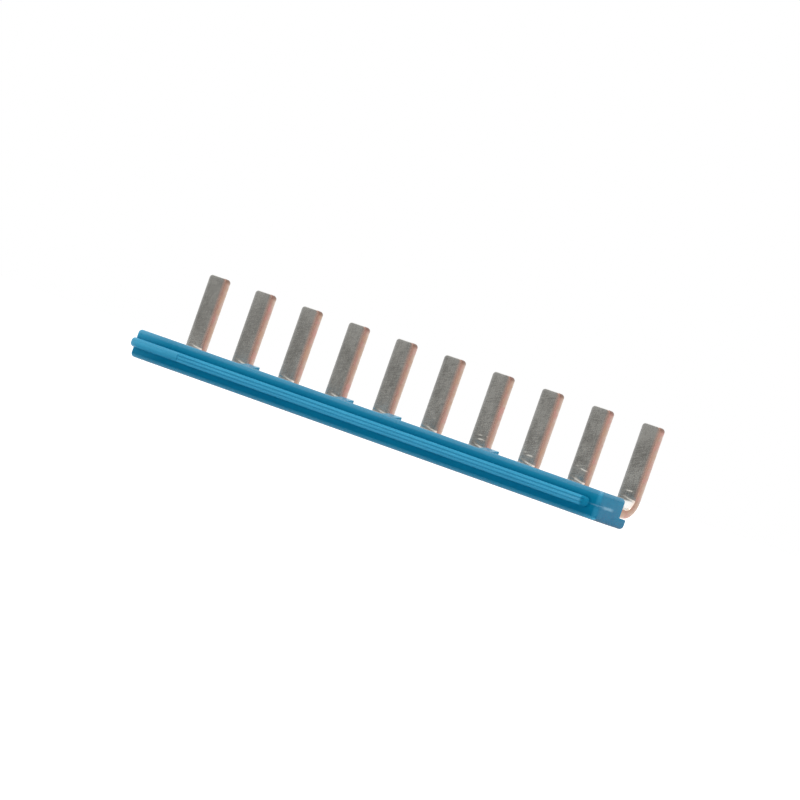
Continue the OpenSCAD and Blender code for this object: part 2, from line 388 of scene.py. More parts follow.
# %% The comb as one piece
comb = make_piece("contact_comb_sheet", comb_points, comb_quads.tolist(),
                  {"sheet": sheet_place, "cut": cut_share, "rim": rim_glow_and_highlight_share})
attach(comb, "root")
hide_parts("contact_comb")

# %% [markdown]
# ## The moulded profile
# The profile is a long moulding with one section: a channel that is open at the rear, with
# a lower wall that reaches further back, and a bead of a rib on the front. A curve with a
# bevel object could carry such a section, but it could not change it on the way. So the
# section is drawn once as a closed line of points and repeated at stations along X. The
# rib's points move from station to station, which cuts its grooves and rounds its nose.

# %% Sizes of the section, from the front of the web
LOWER_T, UPPER_T, WEB_T = 1.02, 0.97, 0.8
SLOT_H = 0.91
UPPER_DEPTH, LIP_DEPTH = 4.25, 5.6
EDGE_R, REAR_R, LIP_R, LIP_LOW_R = 0.4, 0.2, 0.2, 0.45
RIB_H, RIB_W, RIB_R = 0.55, 0.98, 0.4
RIDGES, GROOVE_W, GROOVE_DEPTH = 3, 0.2, 0.09
WEB_FRONT = profile_low[1] + RIB_H
slot_top = LOWER_T + SLOT_H
profile_h = slot_top + UPPER_T
rib_half, rib_z = RIB_W / 2, profile_h / 2
ridge_step = RIB_W / RIDGES
print("height of the walls, mm:", round(profile_h, 3))

# %% Points across the rib
SUPPORT = 0.03
BEAD_STEPS, GROOVE_STEPS = 13, 5
FLANK_RISE = np.array([0.0, 0.03, 0.08, 0.13])
bead_turn = np.linspace(0, math.pi / 2, BEAD_STEPS)
bead_z = rib_half - RIB_R * (1 - np.cos(bead_turn))
groove_z = ridge_step / 2 + GROOVE_W / 2 * np.linspace(-1, 1, GROOVE_STEPS)
half_z = np.unique(np.r_[bead_z, groove_z, SUPPORT, 0.0].round(5))
rib_across = np.r_[np.full(len(FLANK_RISE), -rib_half), -half_z[::-1][1:], half_z[1:-1],
                   np.full(len(FLANK_RISE), rib_half)]
rib_limit = np.r_[FLANK_RISE, np.full(len(rib_across) - 2 * len(FLANK_RISE), np.inf), FLANK_RISE[::-1]]
print("points across the rib:", len(rib_across))

# %% The section as a closed line


def arc(centre, radius, start_deg, end_deg, steps=ARC_STEPS):
    """Part of a circle as points, from one angle to the other, without its last point."""
    angle = np.radians(np.linspace(start_deg, end_deg, steps))[:-1]
    return np.column_stack([centre[0] + radius * np.cos(angle), centre[1] + radius * np.sin(angle)])


def line(start, end, steps=6):
    """Straight run without its last point, with a point close to each end for crisp shading."""
    length = float(np.hypot(end[0] - start[0], end[1] - start[1]))
    share = np.r_[0, SUPPORT, np.linspace(0.0, length, steps)[1:-1], length - SUPPORT]
    return np.array(start) + share[:, None] * ((np.array(end) - start) / length)


parts = {
    "front_low_edge": arc((EDGE_R, EDGE_R), EDGE_R, 270, 180),
    "web_low": line((0, EDGE_R), (0, rib_z - rib_half)),
    "rib": np.column_stack([np.zeros(len(rib_across)), rib_z + rib_across]),
    "web_high": line((0, rib_z + rib_half), (0, profile_h - EDGE_R))[1:],
    "front_top_edge": arc((EDGE_R, profile_h - EDGE_R), EDGE_R, 180, 90),
    "top": line((EDGE_R, profile_h), (UPPER_DEPTH - REAR_R, profile_h), 10),
    "rear_top_edge": arc((UPPER_DEPTH - REAR_R, profile_h - REAR_R), REAR_R, 90, 0),
    "upper_rear": line((UPPER_DEPTH, profile_h - REAR_R), (UPPER_DEPTH, slot_top)),
    "slot_ceiling": line((UPPER_DEPTH, slot_top), (WEB_T, slot_top)),
    "slot_front": line((WEB_T, slot_top), (WEB_T, LOWER_T)),
    "slot_floor": line((WEB_T, LOWER_T), (UPPER_DEPTH, LOWER_T)),
    "lip_top": line((UPPER_DEPTH, LOWER_T), (LIP_DEPTH - LIP_R, LOWER_T)),
    "lip_top_edge": arc((LIP_DEPTH - LIP_R, LOWER_T - LIP_R), LIP_R, 90, 0),
    "lip_rear": line((LIP_DEPTH, LOWER_T - LIP_R), (LIP_DEPTH, LIP_LOW_R)),
    "lip_low_edge": arc((LIP_DEPTH - LIP_LOW_R, LIP_LOW_R), LIP_LOW_R, 0, -90),
    "underside": line((LIP_DEPTH - LIP_LOW_R, 0), (EDGE_R, 0), 10),
}
section = np.vstack(list(parts.values()))
part_of = np.repeat(list(parts), [len(points) for points in parts.values()])
on_rib = part_of == "rib"
rib_cols = np.flatnonzero(on_rib)
print("points round the section:", len(section))

# %% Stations along the row
FIT_GAP = 0.03
RIB_SETBACK, PLAIN_LEN = 1.0, 6.4
RIDGE_START, RIDGE_SHORT, RIDGE_FADE = 0.5, 0.35, 0.12
PLAIN_STEPS, RIDGE_STEPS = 6, 60
STEP_IN = 0.02
LEFT_END, RIGHT_END = profile_low[0], profile_high[0]
SLOT_LEFT, SLOT_RIGHT = comb_low[0] - FIT_GAP, comb_high[0] + FIT_GAP
NOSE_END = RIGHT_END - RIB_SETBACK
RIB_CENTRE = NOSE_END - rib_half
RIDGE_END = RIB_CENTRE - RIDGE_SHORT
PLAIN_END = LEFT_END + PLAIN_LEN
notch_x = PLAIN_END + GROOVE_W / 2 * np.array([-1, -1, 1, 1]) + STEP_IN * np.array([-1, 0, 0, 1])
inner_x = np.unique(np.r_[
    np.linspace(SLOT_LEFT, PLAIN_END, PLAIN_STEPS),
    notch_x,
    np.linspace(PLAIN_END + RIDGE_START, RIB_CENTRE, RIDGE_STEPS),
    RIDGE_END + RIDGE_FADE * np.array([-1, 1]),
    RIB_CENTRE + rib_half * np.sin(bead_turn),
    SLOT_RIGHT,
].round(6))
row_count = len(inner_x)
print("stations between the end walls:", row_count)

# %% Open rings between the end walls
MERGE_MM = 2e-5


def groove_share(x, z):
    """1 along the bottom of the two grooves, 0 from their edges on, from the notch to the nose."""
    share = np.clip(1 - np.abs(np.abs(z - rib_z) - ridge_step / 2) / (GROOVE_W / 2), 0, 1)
    return share * (x > PLAIN_END) * (x < RIB_CENTRE + STEP_IN)


def rib_height(x, z):
    """Rib's height: a quarter-round rise with the distance from its outline, less grooves and notch."""
    past = np.maximum(x - RIB_CENTRE, 0)
    inside = np.clip(rib_half - np.hypot(past, z - rib_z), 0, RIB_R)
    rise = RIB_H - RIB_R + np.sqrt(RIB_R ** 2 - (RIB_R - inside) ** 2)
    rise = (rise - GROOVE_DEPTH * groove_share(x, z)) * (x < NOSE_END + STEP_IN)
    in_notch = np.abs(x - PLAIN_END) < GROOVE_W / 2 + STEP_IN / 2
    return np.where(in_notch, np.minimum(rise, RIB_H - GROOVE_DEPTH), rise)


ring_x = np.broadcast_to(inner_x[:, None], (row_count, len(section))).copy()
ring_y = np.broadcast_to(section[:, 0], ring_x.shape).copy()
ring_z = np.broadcast_to(section[:, 1], ring_x.shape).copy()
past_centre = np.maximum(inner_x - RIB_CENTRE, 0)
reach = np.sqrt(np.clip(rib_half ** 2 - past_centre ** 2, 0, None)) / rib_half
reach[inner_x > NOSE_END - MERGE_MM] = 0
ring_z[:, on_rib] = rib_z + reach[:, None] * rib_across
height = rib_height(ring_x[:, on_rib], ring_z[:, on_rib])
ring_y[:, on_rib] = -np.minimum(height, rib_limit)
print("height of the rib, mm:", round(float(height.max()), 3))

# %% [markdown]
# ## Its rounded ends
# The ends of the moulding are soft, as a mould's corners are. Near an end every point of
# the section steps inwards along its own quarter of an ellipse, wide at the front corner
# and narrow elsewhere. The slot's points slide to the mouth there, which closes the slot.
# A Bevel modifier gives one width all round, so the rings are worked out instead.

# %% Outward directions of the section at the ends


def line_normals(points):
    """Outward directions of a closed line, mitred so that both sides of a corner move evenly."""
    ahead = np.roll(points, -1, axis=0) - points
    length = np.linalg.norm(ahead, axis=1, keepdims=True)
    ahead = np.divide(ahead, length, out=np.zeros_like(ahead), where=length > MERGE_MM)
    normal = np.column_stack([-ahead[:, 1], ahead[:, 0]])
    before = np.roll(normal, 1, axis=0)
    return (normal + before) / (1 + (normal * before).sum(axis=1, keepdims=True))


in_slot = np.isin(part_of, ["slot_ceiling", "slot_front", "slot_floor"])
base = section.copy()
base[on_rib, 0] = ring_y[1, on_rib]
base[in_slot, 0] = UPPER_DEPTH
outward = line_normals(base)
outward[np.isin(part_of, ["slot_ceiling", "slot_front"])] = (1, 0)
outward[part_of == "slot_floor"] = (1, 1)
outward[np.flatnonzero(part_of == "lip_top")[0]] = (1, 1)
right_base, right_out = base.copy(), outward.copy()
right_base[on_rib], right_out[on_rib] = (0, rib_z), (-1, 0)
print("points in the slot's line:", int(in_slot.sum()))

# %% Closed rings at the two ends
CORNER_R, LIP_CORNER_R, END_R, SOFT_R, RIB_SOFT_R = 0.45, 0.4, 0.4, 0.12, 0.3
front_part = np.isin(part_of, ["front_low_edge", "web_low", "web_high", "front_top_edge"])
lip_part = np.isin(part_of, ["lip_top_edge", "lip_rear", "lip_low_edge"])
soft_y = np.select([front_part, lip_part], [CORNER_R, LIP_CORNER_R], SOFT_R)
soft = np.column_stack([soft_y, np.full(len(section), SOFT_R)])
soft_left = np.where(on_rib[:, None], RIB_SOFT_R, soft)
soft_left[rib_cols[[0, -1]], 0] = CORNER_R
soft_right = np.where(on_rib[:, None], CORNER_R, soft)


def end_rings(shape, outwards, radii, turns, end, side):
    """Rings that round an end: each point moves in on a quarter ellipse while x runs out to it."""
    sunk = shape - outwards * radii
    held = np.clip(sunk, (CORNER_R, END_R), (LIP_DEPTH - LIP_CORNER_R, profile_h - END_R))
    step_in = shape - np.where(on_rib[:, None], sunk, held)
    longest = np.maximum(np.abs(step_in).max(axis=1), radii.max(axis=1))
    reach_x = np.minimum(np.linalg.norm(step_in, axis=1), longest)
    x = end - side * reach_x * (1 - np.sin(turns))[:, None]
    return (x, *(shape - step_in * (1 - np.cos(turns))[:, None, None]).transpose(2, 0, 1))


left_rings = end_rings(base, outward, soft_left, quarter[::-1], LEFT_END, -1)
right_rings = end_rings(right_base, right_out, soft_right, quarter, RIGHT_END, 1)
left_wall = (np.full((1, len(section)), SLOT_LEFT), *base.T[:, None])
right_wall = (np.full((1, len(section)), SLOT_RIGHT), *right_base.T[:, None])
stacks = zip(left_rings, left_wall, (ring_x, ring_y, ring_z), right_wall, right_rings)
profile_net = np.stack([np.vstack(stack) for stack in stacks], axis=-1)
print("rings:", len(profile_net), "points round each:", len(section))

# %% Faces of the profile


def ring_cells(net):
    """Quads between each ring of a net and the next, where a ring's last point joins its first."""
    after = np.roll(net, -1, axis=-1)
    return np.stack([net[..., :-1, :], net[..., 1:, :], after[..., 1:, :], after[..., :-1, :]], axis=-1)


net = np.arange(profile_net[..., 0].size).reshape(profile_net.shape[:2])
cells = ring_cells(net)
first_open, last_open = ARC_STEPS + 1, ARC_STEPS + row_count
nose_row = first_open + int(np.argmin(np.abs(inner_x - NOSE_END)))
shut = np.isin(part_of, ["slot_ceiling", "slot_floor"])
keep = np.ones(cells.shape[:2], bool)
keep[:first_open, shut] = False
keep[last_open:, shut] = False
keep[[first_open - 1, last_open]] = False
keep[nose_row:, rib_cols[:-1]] = False
profile_quads = cells[keep]
print("quads of the moulding:", len(profile_quads))

# %% End caps, and the end walls of the slot
shut_right = shut.copy()
shut_right[rib_cols[1:]] = True
cap_left, cap_right = net[0, ~shut], net[-1, ~shut_right][::-1]
slot_cols = np.flatnonzero(in_slot)
slot_cols = np.r_[slot_cols, slot_cols[-1] + 1]
mouth_cols = np.flatnonzero(part_of == "slot_front")[::-1]
slot_left = np.r_[net[first_open, slot_cols], net[first_open - 1, mouth_cols]]
slot_right = np.r_[net[last_open, slot_cols], net[last_open + 1, mouth_cols]][::-1]
end_faces = [end_face.tolist() for end_face in (cap_left, cap_right, slot_left, slot_right)]
print("corners of the end faces:", [len(end_face) for end_face in end_faces])

# %% [markdown]
# ## The buttresses
# Four small ribs stand in gaps between the blades. From the front only their sloping tops
# show; that they tie the upper wall to the lower one is a guess. Cubes with a Bevel modifier
# would come close, but a section that is carried over the width, drawn in at both sides,
# gives the slope and the soft edges in one go. It is set four times along the row.

# %% Section of a buttress
BUTT_ROOT, BUTT_INSET, BUTT_RISE = 0.5, 0.25, 0.3
BUTT_BITE, BUTT_SEAT = 0.1, 0.3
BUTT_W, BUTT_SOFT = 1.6, 0.09
butt_front, butt_rear = UPPER_DEPTH - BUTT_ROOT, LIP_DEPTH - BUTT_INSET
butt_low, butt_top = LOWER_T / 2, profile_h + BUTT_RISE
butt_inner, butt_seat = UPPER_DEPTH - BUTT_BITE, slot_top + BUTT_SEAT
ramp_drop = BUTT_SOFT * (butt_top - profile_h) / (butt_rear - butt_front)
crest = (butt_rear - BUTT_SOFT, butt_top - ramp_drop - BUTT_SOFT)


def straight(start, end, steps):
    """Even run of points without its last point."""
    return np.array(start) + np.linspace(0, 1, steps)[:-1, None] * (np.array(end) - start)


buttress_section = np.vstack([
    straight((butt_inner, butt_seat), (butt_front, butt_seat), 3),
    straight((butt_front, butt_seat), (butt_front, profile_h), 3),
    straight((butt_front, profile_h), (crest[0], crest[1] + BUTT_SOFT), 6),
    arc(crest, BUTT_SOFT, 90, 0, 6),
    straight((butt_rear, crest[1]), (butt_rear, butt_low), 6),
    straight((butt_rear, butt_low), (butt_inner, butt_low), 3),
    straight((butt_inner, butt_low), (butt_inner, butt_seat), 4),
])
print("points round a buttress:", len(buttress_section))

# %% Rings and faces of the four buttresses
BUTT_GAPS = np.array([2, 4, 5, 7])
butt_turns = np.r_[quarter[::-1], quarter]
butt_side = np.repeat([-1, 1], ARC_STEPS)
butt_inset = BUTT_SOFT * (1 - np.cos(butt_turns))
butt_x = butt_side * (BUTT_W / 2 - BUTT_SOFT * (1 - np.sin(butt_turns)))
butt_yz = buttress_section - line_normals(buttress_section) * butt_inset[:, None, None]
butt_xs = np.broadcast_to(butt_x[:, None, None], butt_yz.shape[:2] + (1,))
butt_net = np.concatenate([butt_xs, butt_yz], axis=-1)
butt_middle = np.zeros((len(BUTT_GAPS), 3))
butt_middle[:, 0] = comb_mid + (BUTT_GAPS - POLES / 2) * PITCH
butt_points = butt_net + butt_middle[:, None, None, :]
butt_index = net.size + np.arange(butt_points[..., 0].size).reshape(butt_points.shape[:3])
butt_quads = ring_cells(butt_index).reshape(-1, 4)
butt_caps = butt_index[:, 0].tolist() + butt_index[:, -1, ::-1].tolist()
print("buttresses at x, mm:", butt_middle[:, 0].round(3))

# %% Points and faces of the moulding


def merge_points(points, faces):
    """Points that fall on each other become one, and a face keeps each point once."""
    keys = np.round(points / MERGE_MM).astype(np.int64)
    _, first, back = np.unique(keys, axis=0, return_index=True, return_inverse=True)
    back = back.reshape(-1)
    slim = [list(dict.fromkeys(back[list(face)].tolist())) for face in faces]
    return first, [face for face in slim if len(face) > 2]


points = np.vstack([profile_net.reshape(-1, 3), butt_points.reshape(-1, 3)])
points[:, 1] += WEB_FRONT
faces = profile_quads.tolist() + end_faces + butt_quads.tolist() + butt_caps
first, faces = merge_points(points, faces)
print("points before and after the merge:", len(points), len(first))

# %% [markdown]
# ## Where light and shade are painted on its skin
# On the real moulding light catches the ridges, the rounded edges, the corners and the low
# edge, and the grooves lie in shade. Vertex paint could hold that, but the shape already
# knows where its edges and ridges are. So two numbers are worked out for every point and kept
# on the mesh: "edge", how much the skin shines, below zero along the low edges, where painted
# light from below is mixed in, and "pale", how much painted highlight is mixed in.

# %% Painted highlights and shine along the edges and round the ends
END_GLOSS, TIP_GLOSS = 0.33, 0.8
# the PALE numbers below are amounts of painted highlight
TOP_PALE, WEB_PALE, CORNER_PALE, LEFT_PALE = 0.36, 0.24, 0.4, 0.45
WEB_FADE, LEFT_FADE, LOW_SHARE = 0.4, 4.0, 0.5
LATE_TURN, EARLY_TURN = math.radians(45), math.radians(20)
top_edges = np.isin(part_of, ["front_top_edge", "rear_top_edge", "lip_top_edge"])
low_edges = np.isin(part_of, ["front_low_edge", "lip_low_edge"])
upper_front = np.isin(part_of, ["web_high", "front_top_edge"])
late = np.clip(quarter / LATE_TURN - 1, 0, 1)[:, None]
early = np.clip(quarter / EARLY_TURN, 0, 1)[:, None]
to_end = np.zeros(profile_net.shape[:2])
to_end[-ARC_STEPS:] = np.where(front_part, late, early)
to_end[:ARC_STEPS] = to_end[-ARC_STEPS:][::-1]

end_sheen = np.where(part_of == "top", 1.0, END_GLOSS)
# below zero along the low edges, where painted light from below is mixed into the colour
edge_net = (top_edges - low_edges * np.clip(-outward[:, 1], 0, 1)) * (1 - to_end) + end_sheen * to_end
edge_net[[0, -1]] = END_GLOSS
edge_net[:ARC_STEPS, on_rib] = TIP_GLOSS

# pale: painted highlights along the top edges, on the web under them, round the corners at the ends and
# near the left end
below_edge = np.clip(1 - (profile_h - EDGE_R - section[:, 1]) / WEB_FADE, 0, 1)
top_pale = TOP_PALE * top_edges * (1 - np.clip(outward[:, 1], 0, 1) ** 2)
pale_net = (top_pale + WEB_PALE * (part_of == "web_high") * below_edge) * (1 - to_end)
round_corner = front_part & ~low_edges
corner_pale = CORNER_PALE * np.sin(2 * quarter)[:, None]
pale_net[-ARC_STEPS:, round_corner] += corner_pale
pale_net[:ARC_STEPS, round_corner] += corner_pale[::-1]
near_left = np.clip(1 - (profile_net[:, :, 0] - LEFT_END) / LEFT_FADE, 0, 1)
pale_net += LEFT_PALE * near_left * np.select([upper_front, front_part], [1.0, LOW_SHARE], 0.0)
print("palest band:", round(float(pale_net.max()), 3))

# %% Painted highlights and shade on the rib and buttresses
# the DIM numbers are painted shade on the rib, the PALE numbers painted highlight
GROOVE_DIM, FLANK_DIM, PLAIN_DIM, NOSE_PALE, BUTT_PALE = 0.45, 0.3, 0.35, 0.08, 0.5
PLAIN_GLOSS, RIDGE_GLOSS, BUTT_GLOSS = 0.35, 0.6, 0.6
RIDGE_RISE, GLOSS_LEN, PLAIN_FADE, PLAIN_SHIFT = 0.2, 2.5, 0.3, 0.1
x, y, z = points.T
ridge = np.clip((WEB_FRONT - y) / RIDGE_RISE, 0, 1)
plain = x < PLAIN_END
# painted highlight on the rib's crown, with painted shade in the grooves, down the flanks and over the
# lower half of the plain stretch, and a faint painted highlight on the nose
crown = (1 - GROOVE_DIM * groove_share(x, z)) * (1 - FLANK_DIM * np.abs(z - rib_z) / rib_half)
crown *= 1 - PLAIN_DIM * plain * np.clip((rib_z + PLAIN_SHIFT - z) / PLAIN_FADE, 0, 1)
before_nose = np.clip((RIDGE_END - x) / (2 * RIDGE_FADE) + 0.5, 0, 1)
pale_share = ridge * (crown * before_nose + NOSE_PALE * (1 - before_nose))
pale_share[:net.size] += pale_net.ravel()
# the buttresses carry painted highlight all over, full on their side caps, which face away from the lamp
pale_share[net.size:] = BUTT_PALE
pale_share[butt_index[:, [0, -1]]] = 1.0

edge_share = PLAIN_GLOSS * ridge * plain * np.clip((z - rib_z) / PLAIN_FADE, 0, 1)
on_middle = np.abs(z - rib_z) < ridge_step / 2 - GROOVE_W / 4
near_nose = np.clip(1 - (RIDGE_END - x) / GLOSS_LEN, 0, 1)
edge_share += RIDGE_GLOSS * ridge * on_middle * before_nose * near_nose
edge_share[:net.size] += edge_net.ravel()
edge_share[net.size:] = BUTT_GLOSS
print("pale from", round(float(pale_share.min()), 2), "to", round(float(pale_share.max()), 2))
print("edge from", round(float(edge_share.min()), 2), "to", round(float(edge_share.max()), 2))

# %% The moulding as one piece
profile = make_piece("insulating_profile_moulding", points[first], faces,
                     {"edge": edge_share[first], "pale": pale_share[first]})
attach(profile, "root")
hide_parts("insulating_profile")

# %% [markdown]
# ## Finishes
# A finish is a small network of shader nodes. It could be drawn by hand in the node editor,
# but written down it can be read and changed in one place. The helpers below add a node,
# set or link its inputs, and make the few patterns that both finishes share.

# %% Node helpers
NOISE_ROUGH = 0.55


def new_finish(name):
    """Empty node material; returns the material and its node tree."""
    finish = bpy.data.materials.new(name)
    finish.use_nodes = True
    finish.node_tree.nodes.clear()
    return finish, finish.node_tree


def put(tree, kind, inputs=None, **settings):
    """Adds a shader node; an input that is given a socket is linked, any other value is set."""
    node = tree.nodes.new("ShaderNode" + kind)
    for key, value in settings.items():
        setattr(node, key, value)
    for key, value in (inputs or {}).items():
        if isinstance(value, bpy.types.NodeSocket):
            tree.links.new(value, node.inputs[key])
        else:
            node.inputs[key].default_value = value
    return node


def ranged(tree, value, low, high, to_low, to_high):
    """Maps low..high of a value to another range, held at both ends."""
    return put(tree, "MapRange", {"Value": value, "From Min": low, "From Max": high,
                                  "To Min": to_low, "To Max": to_high}).outputs["Result"]


def mixed(tree, share, first_colour, second_colour):
    """Mix of two colours, by a share from 0 to 1."""
    return put(tree, "Mix", {0: share, 6: first_colour, 7: second_colour},
               data_type="RGBA").outputs[2]


def maths(tree, operation, first_value, second_value=0.0):
    """One arithmetic step on two values or sockets."""
    return put(tree, "Math", {0: first_value, 1: second_value},
               operation=operation).outputs[0]


def weighed(tree, *pairs):
    """Sum of values, each times its weight."""
    total = maths(tree, "MULTIPLY", *pairs[0])
    for pair in pairs[1:]:
        total = maths(tree, "ADD", total, maths(tree, "MULTIPLY", *pair))
    return total


def stretched_noise(tree, place, stretch, detail, lean=0.0):
    """Noise on a leaning, stretched copy of the coordinates, in waves per unit along each axis."""
    turned = put(tree, "Mapping", {"Vector": place, "Rotation": (0, 0, lean)}).outputs["Vector"]
    mapped = put(tree, "Mapping", {"Vector": turned, "Scale": stretch}).outputs["Vector"]
    return put(tree, "TexNoise", {"Vector": mapped, "Scale": 1.0, "Detail": detail,
                                  "Roughness": NOISE_ROUGH}).outputs["Fac"]


# %% [markdown]
# ## Tinned copper
# The sheet is tinned before it is stamped, so its faces are a dull grey tin with faint
# rolling streaks, specks and scratches, while every cut edge is bare copper: a burnished
# band at the front and a paler, rougher one behind it. Light is painted on top: a near-white
# highlight in the bend, along the left edges, at the tips and on the rearmost rim of each cut,
# and a coppery glow along the right rims, partly copper under thin tin, partly painted.
# Two materials would meet in a hard line. The comb carries its own flat coordinates and the
# share of cut surface, so one finish can tell the two apart and blend them.

# %% Patterns on the sheet
STREAK_LEAN = math.radians(-18)
row_start, row_end = float(comb_low[0]), float(comb_high[0])
bend_s, tip_s = float(bend_end), float(strip_end)

tinned, tree = new_finish("tinned_copper")
sheet = put(tree, "Attribute", attribute_name="sheet").outputs["Vector"]
cut = put(tree, "Attribute", attribute_name="cut").outputs["Fac"]
rim_glow_and_highlight = put(tree, "Attribute", attribute_name="rim").outputs["Fac"]
sheet_x, sheet_s, sheet_depth = put(tree, "SeparateXYZ", {"Vector": sheet}).outputs
cloud = stretched_noise(tree, sheet, (0.6, 0.45, 1.0), 4.0)
streak = stretched_noise(tree, sheet, (1.1, 6.5, 1.0), 3.0, lean=STREAK_LEAN)
grain = stretched_noise(tree, sheet, (8.0, 8.0, 8.0), 2.0)
scratch = stretched_noise(tree, sheet, (7.0, 1.2, 1.0), 2.0)
print("bend and blade end at s, mm:", round(bend_s, 3), round(tip_s, 3))

# %% Tin of the faces, with painted highlights and the coppery glow of the right rims
TIN_PALE, TIN_DARK = (0.66, 0.645, 0.595, 1), (0.39, 0.38, 0.35, 1)
# the second colour below is near-white tin, a painted highlight for the bend, the left edges and the
# tips
TIN_HIGHLIGHT, TIN_SPECK = (0.97, 0.96, 0.93, 1), (0.86, 0.85, 0.8, 1)
# the rim colours are the coppery glow of the right rims, partly copper under thin tin, partly painted,
# and a lighter one where it meets the painted highlight in the bend
RIM_COPPER_GLOW, RIM_BEND_HIGHLIGHT = (0.98, 0.63, 0.515, 1), (1, 0.86, 0.76, 1)
tone = weighed(tree, (cloud, 0.3), (streak, 0.3), (scratch, 0.2), (grain, 0.2))
lively = ranged(tree, sheet_x, row_start, row_end, 0.6, 1.25)
tone = maths(tree, "ADD", maths(tree, "MULTIPLY", maths(tree, "SUBTRACT", tone, 0.5), lively), 0.5)
paler_high = ranged(tree, sheet_s, bend_s + 4.0, tip_s, 0, 0.045)
paler_low = ranged(tree, sheet_s, bend_s, bend_s + 1.8, 0.026, 0)
paler_right = ranged(tree, sheet_x, row_start, row_end, -0.005, 0.014)
paler = maths(tree, "ADD", maths(tree, "ADD", paler_high, paler_low), paler_right)
tone = maths(tree, "ADD", tone, paler)
tin = mixed(tree, ranged(tree, tone, 0.43, 0.57, 0, 1), TIN_DARK, TIN_PALE)
speck = maths(tree, "MULTIPLY", ranged(tree, grain, 0.62, 0.72, 0.0, 0.6), lively)
tin = mixed(tree, speck, tin, TIN_SPECK)
# painted highlight: the tin turns near-white in the bend
tin = mixed(tree, ranged(tree, sheet_s, bend_s - 0.45, bend_s - 0.2, 1, 0), tin, TIN_HIGHLIGHT)
# painted highlights along the left edges, at the tips and on the rolled rims that don't face right
tin = mixed(tree, ranged(tree, rim_glow_and_highlight, -1, 0, 0.9, 0), tin, TIN_HIGHLIGHT)
# the coppery glow of the right rims, lighter towards the painted highlight in the bend
in_bend = ranged(tree, sheet_s, bend_s - 0.2, bend_s + 0.3, 1, 0)
tin = mixed(tree, rim_glow_and_highlight, tin, mixed(tree, in_bend, RIM_COPPER_GLOW, RIM_BEND_HIGHLIGHT))
print("nodes for the tin:", len(tree.nodes))

# %% Copper of the cut edges
SHEAR_COPPER, SHEAR_FRESH = (0.335, 0.195, 0.157, 1), (0.41, 0.26, 0.19, 1)
BREAK_COPPER, BREAK_HIGHLIGHT = (0.48, 0.36, 0.30, 1), (0.80, 0.72, 0.66, 1)
COPPER_PINK, COPPER_TAN = (0.47, 0.225, 0.205, 1), (0.42, 0.265, 0.175, 1)
COPPER_DARK_TIP = (0.17, 0.09, 0.065, 1)
tear = stretched_noise(tree, sheet, (3.0, 2.4, 1.2), 3.0)
hue = stretched_noise(tree, sheet, (1.1, 0.9, 0.5), 2.0)
waver = maths(tree, "MULTIPLY", maths(tree, "SUBTRACT", tear, 0.5), 0.4)
ragged = maths(tree, "ADD", sheet_depth, waver)
fresh_bend = ranged(tree, sheet_s, bend_s - 1.2, bend_s - 0.4, 1, 0)
fresh_right = ranged(tree, sheet_x, comb_mid, row_end, 0, 0.4)
shear = mixed(tree, maths(tree, "MAXIMUM", fresh_bend, fresh_right), SHEAR_COPPER, SHEAR_FRESH)
copper = mixed(tree, ranged(tree, ragged, 0.25, 0.75, 0, 1), shear, BREAK_COPPER)
copper = mixed(tree, ranged(tree, hue, 0.5, 0.66, 0, 0.6), copper, COPPER_PINK)
copper = mixed(tree, ranged(tree, hue, 0.34, 0.5, 0.5, 0), copper, COPPER_TAN)
# painted highlight: a pale sheen along the rearmost rim of each cut wall
copper = mixed(tree, ranged(tree, ragged, 0.8, 1.05, 0, 0.6), copper, BREAK_HIGHLIGHT)
# darker copper towards the tips
copper = mixed(tree, ranged(tree, sheet_s, tip_s - 0.5, tip_s - 0.1, 0, 0.75), copper, COPPER_DARK_TIP)
print("nodes for the tin and the copper:", len(tree.nodes))

# %% Tinned copper finish
RELIEF_DEPTH = 2e-5
colour = mixed(tree, cut, tin, copper)
dull = weighed(tree, (ranged(tree, cloud, 0.3, 0.7, 0.17, 0.24), 1.0), (cut, 0.2))
relief = weighed(tree, (grain, 0.5), (streak, 0.35), (maths(tree, "MULTIPLY", tear, cut), 0.8))
bump = put(tree, "Bump", {"Strength": 0.25, "Distance": RELIEF_DEPTH, "Height": relief})
metal = put(tree, "BsdfPrincipled", {"Base Color": colour, "Metallic": 1.0, "Roughness": dull,
                                     "Normal": bump.outputs["Normal"]})
put(tree, "OutputMaterial", {"Surface": metal.outputs["BSDF"]})
comb.data.materials.append(tinned)
print("nodes in the tinned copper:", len(tree.nodes))

# %% [markdown]
# ## Blue moulded plastic
# The profile is a saturated blue plastic with a satin skin. It has soft flow streaks along
# the row, a fine grain, and at its right end a pale scar at the height of the slot. Light is
# painted on top: paler ridges, edges and corners, a web lighter towards its top, and lighter
# low edges. One plain colour would look like paint. So noise that is stretched along the row
# gives the streaks, the two numbers kept on the mesh give the painted highlights and the
# glossy places, and the scar is drawn by its distance from a line.

# %% Blue of the body, with painted light from above, painted highlights and painted light from below
BLUE_DEEP, BLUE_FRESH = (0.001, 0.187, 0.358, 1), (0.003, 0.255, 0.44, 1)
# the two colours below are painted light: the paler blue of the highlights, and the lighter blue that
# light from below gives the low edges
BLUE_LIT, BLUE_LIT_BELOW = (0.085, 0.49, 0.76, 1), (0.06, 0.60, 0.88, 1)

